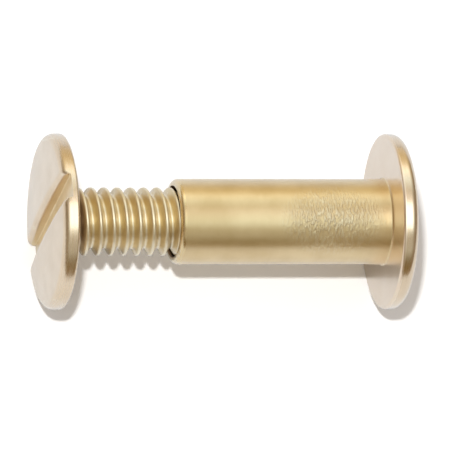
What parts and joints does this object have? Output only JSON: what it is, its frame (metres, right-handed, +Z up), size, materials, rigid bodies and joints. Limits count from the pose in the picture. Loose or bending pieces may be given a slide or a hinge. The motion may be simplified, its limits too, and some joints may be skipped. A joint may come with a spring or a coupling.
{
  "type": "binding barrel screw",
  "caption": "Two-piece brass fastener for a loose stack: a domed barrel nut with a blind threaded bore, and a slotted domed screw that turns into it.",
  "frame": {"origin": "where the common axis meets the seat of the barrel's head, the flat that bears on the stack", "axes": "+X along the common axis from the screw's head to the barrel's head; +Z up, along the screw's slot; the pair lies on the rims of its heads"},
  "size_m": [0.0217, 0.0104, 0.0104],
  "materials": {
    "barrel_brass": "satin",
    "screw_brass": "satin"
  },
  "bodies": {
    "barrel": {"barrel": "barrel_brass"},
    "screw": {"screw": "screw_brass"}
  },
  "joints": [
    {"name": "screw_travel", "type": "slide", "parent": "barrel", "child": "screw", "axis": [-1, 0, 0], "range_m": [-0.0067, 0.01]}
  ]
}
